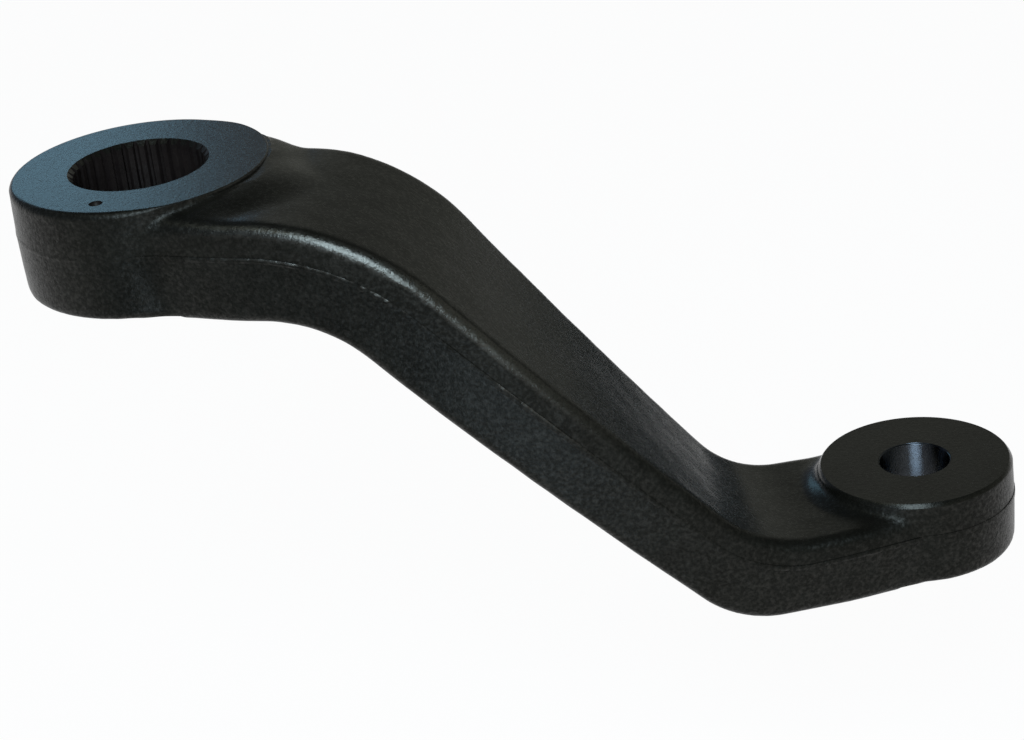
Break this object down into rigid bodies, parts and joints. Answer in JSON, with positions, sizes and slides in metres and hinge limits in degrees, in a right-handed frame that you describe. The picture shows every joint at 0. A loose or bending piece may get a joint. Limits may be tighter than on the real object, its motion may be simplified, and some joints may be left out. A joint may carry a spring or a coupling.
{
  "type": "drop pitman arm",
  "caption": "Forged steel drop pitman arm: a splined eye for the steering gear's sector shaft, a bowed web that steps down, and a tapered eye for the drag link's ball stud.",
  "frame": {"origin": "middle of the splined bore, on its axis", "axes": "+Z along the splined bore, up towards the steering gear; +X in plan towards the ball-stud eye; the web bows towards -Y"},
  "size_m": [0.2259, 0.0717, 0.1108],
  "materials": {
    "black_paint": "satin black paint over a forged surface"
  },
  "bodies": {
    "root": {"pitman_arm": "black_paint"}
  },
  "joints": []
}
